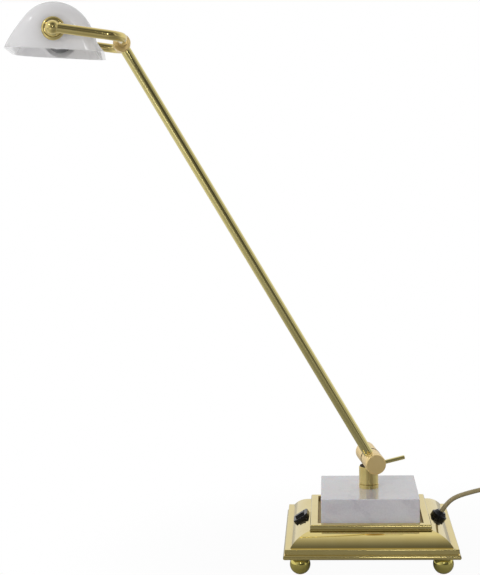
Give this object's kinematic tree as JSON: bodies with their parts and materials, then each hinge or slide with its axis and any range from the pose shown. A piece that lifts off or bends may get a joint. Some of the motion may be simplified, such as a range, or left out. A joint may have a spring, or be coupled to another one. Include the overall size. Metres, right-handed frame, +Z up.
{
  "type": "swing arm lamp",
  "caption": "Desk lamp with a square stepped brass base and marble slab, a swivelling and tilting tube arm, and an opal glass shade in a tilting yoke.",
  "frame": {"origin": "middle of the four feet, on the table", "axes": "+X to the right in the picture, where the cord leaves; +Y to the back; +Z up"},
  "size_m": [0.5964, 0.2539, 0.5456],
  "materials": {
    "polished_brass": "polished",
    "steel": "zinc plated",
    "white_plastic": "satin",
    "iron": "raw",
    "marble": "polished",
    "dark_fibre": "matte",
    "black_plastic": "satin",
    "gold_cord": "satin",
    "strap": "matte",
    "plug_plastic": "satin",
    "pin_metal": "nickel plated",
    "opal_glass": "opal, glossy",
    "clear_glass": "clear",
    "cap_metal": "plain",
    "filament_wire": "drawn"
  },
  "bodies": {
    "base": {"base_shell": "polished_brass", "bottom_plate": "steel", "ballast_weight": "iron", "marble_block": "marble", "ball_foot_front_left": "polished_brass", "ball_foot_front_right": "polished_brass", "ball_foot_back_left": "polished_brass", "ball_foot_back_right": "polished_brass", "foot_studs": "steel", "pivot_collar": "polished_brass", "tie_tube": "steel", "tie_washer": "steel", "tie_nut": "steel", "switch_housing": "black_plastic", "cord_bush": "black_plastic", "mains_cord": "gold_cord", "cord_coil": "gold_cord", "cord_tie": "strap", "cord_tail": "gold_cord", "plug_body": "plug_plastic", "plug_pins": "pin_metal"},
    "post": {"swivel_post": "polished_brass", "post_washer": "dark_fibre", "pivot_barrel": "polished_brass", "friction_washer": "dark_fibre", "pivot_bolt": "steel"},
    "arm": {"arm_hub": "polished_brass", "arm_tube": "polished_brass", "top_barrel": "polished_brass"},
    "clamp": {"clamp_knob": "polished_brass", "clamp_lever": "polished_brass"},
    "yoke": {"yoke_arm_near": "polished_brass", "yoke_arm_far": "polished_brass", "yoke_spindle": "steel", "yoke_ball_near": "polished_brass", "yoke_ball_far": "polished_brass", "stud_near": "steel", "stud_far": "steel", "stud_nut": "steel", "lampholder": "black_plastic", "bulb_cap": "cap_metal", "bulb_glass": "clear_glass", "bulb_filament": "filament_wire"},
    "shade": {"glass_shade": "opal_glass", "rosette_near": "polished_brass", "rosette_far": "polished_brass", "shade_washer_near": "white_plastic", "shade_washer_far": "white_plastic"},
    "rocker": {"switch_rocker": "black_plastic"}
  },
  "joints": [
    {"name": "base_swivel", "type": "hinge", "parent": "base", "child": "post", "pos_m": [0, 0, 0.0805], "axis": [0, 0, 1], "range_deg": [-170, 170]},
    {"name": "arm_tilt", "type": "hinge", "parent": "post", "child": "arm", "pos_m": [0.00382, -0.02587, 0.10045], "axis": [-0.1461, 0.9893, 0], "range_deg": [-30, 60]},
    {"name": "clamp_turn", "type": "hinge", "parent": "post", "child": "clamp", "pos_m": [0.00584, -0.03957, 0.10045], "axis": [-0.1461, 0.9893, 0], "range_deg": [-100, 60]},
    {"name": "yoke_tilt", "type": "hinge", "parent": "arm", "child": "yoke", "pos_m": [-0.22937, -0.0603, 0.51203], "axis": [-0.1461, 0.9893, 0], "range_deg": [-60, 60]},
    {"name": "shade_tilt", "type": "hinge", "parent": "yoke", "child": "shade", "pos_m": [-0.28902, -0.06911, 0.52126], "axis": [-0.1461, 0.9893, 0], "range_deg": [-45, 45]},
    {"name": "switch_rock", "type": "hinge", "parent": "base", "child": "rocker", "pos_m": [-0.06854, 0, 0.03704], "axis": [0.8444, 0, 0.5357], "range_deg": [0, 16]}
  ]
}
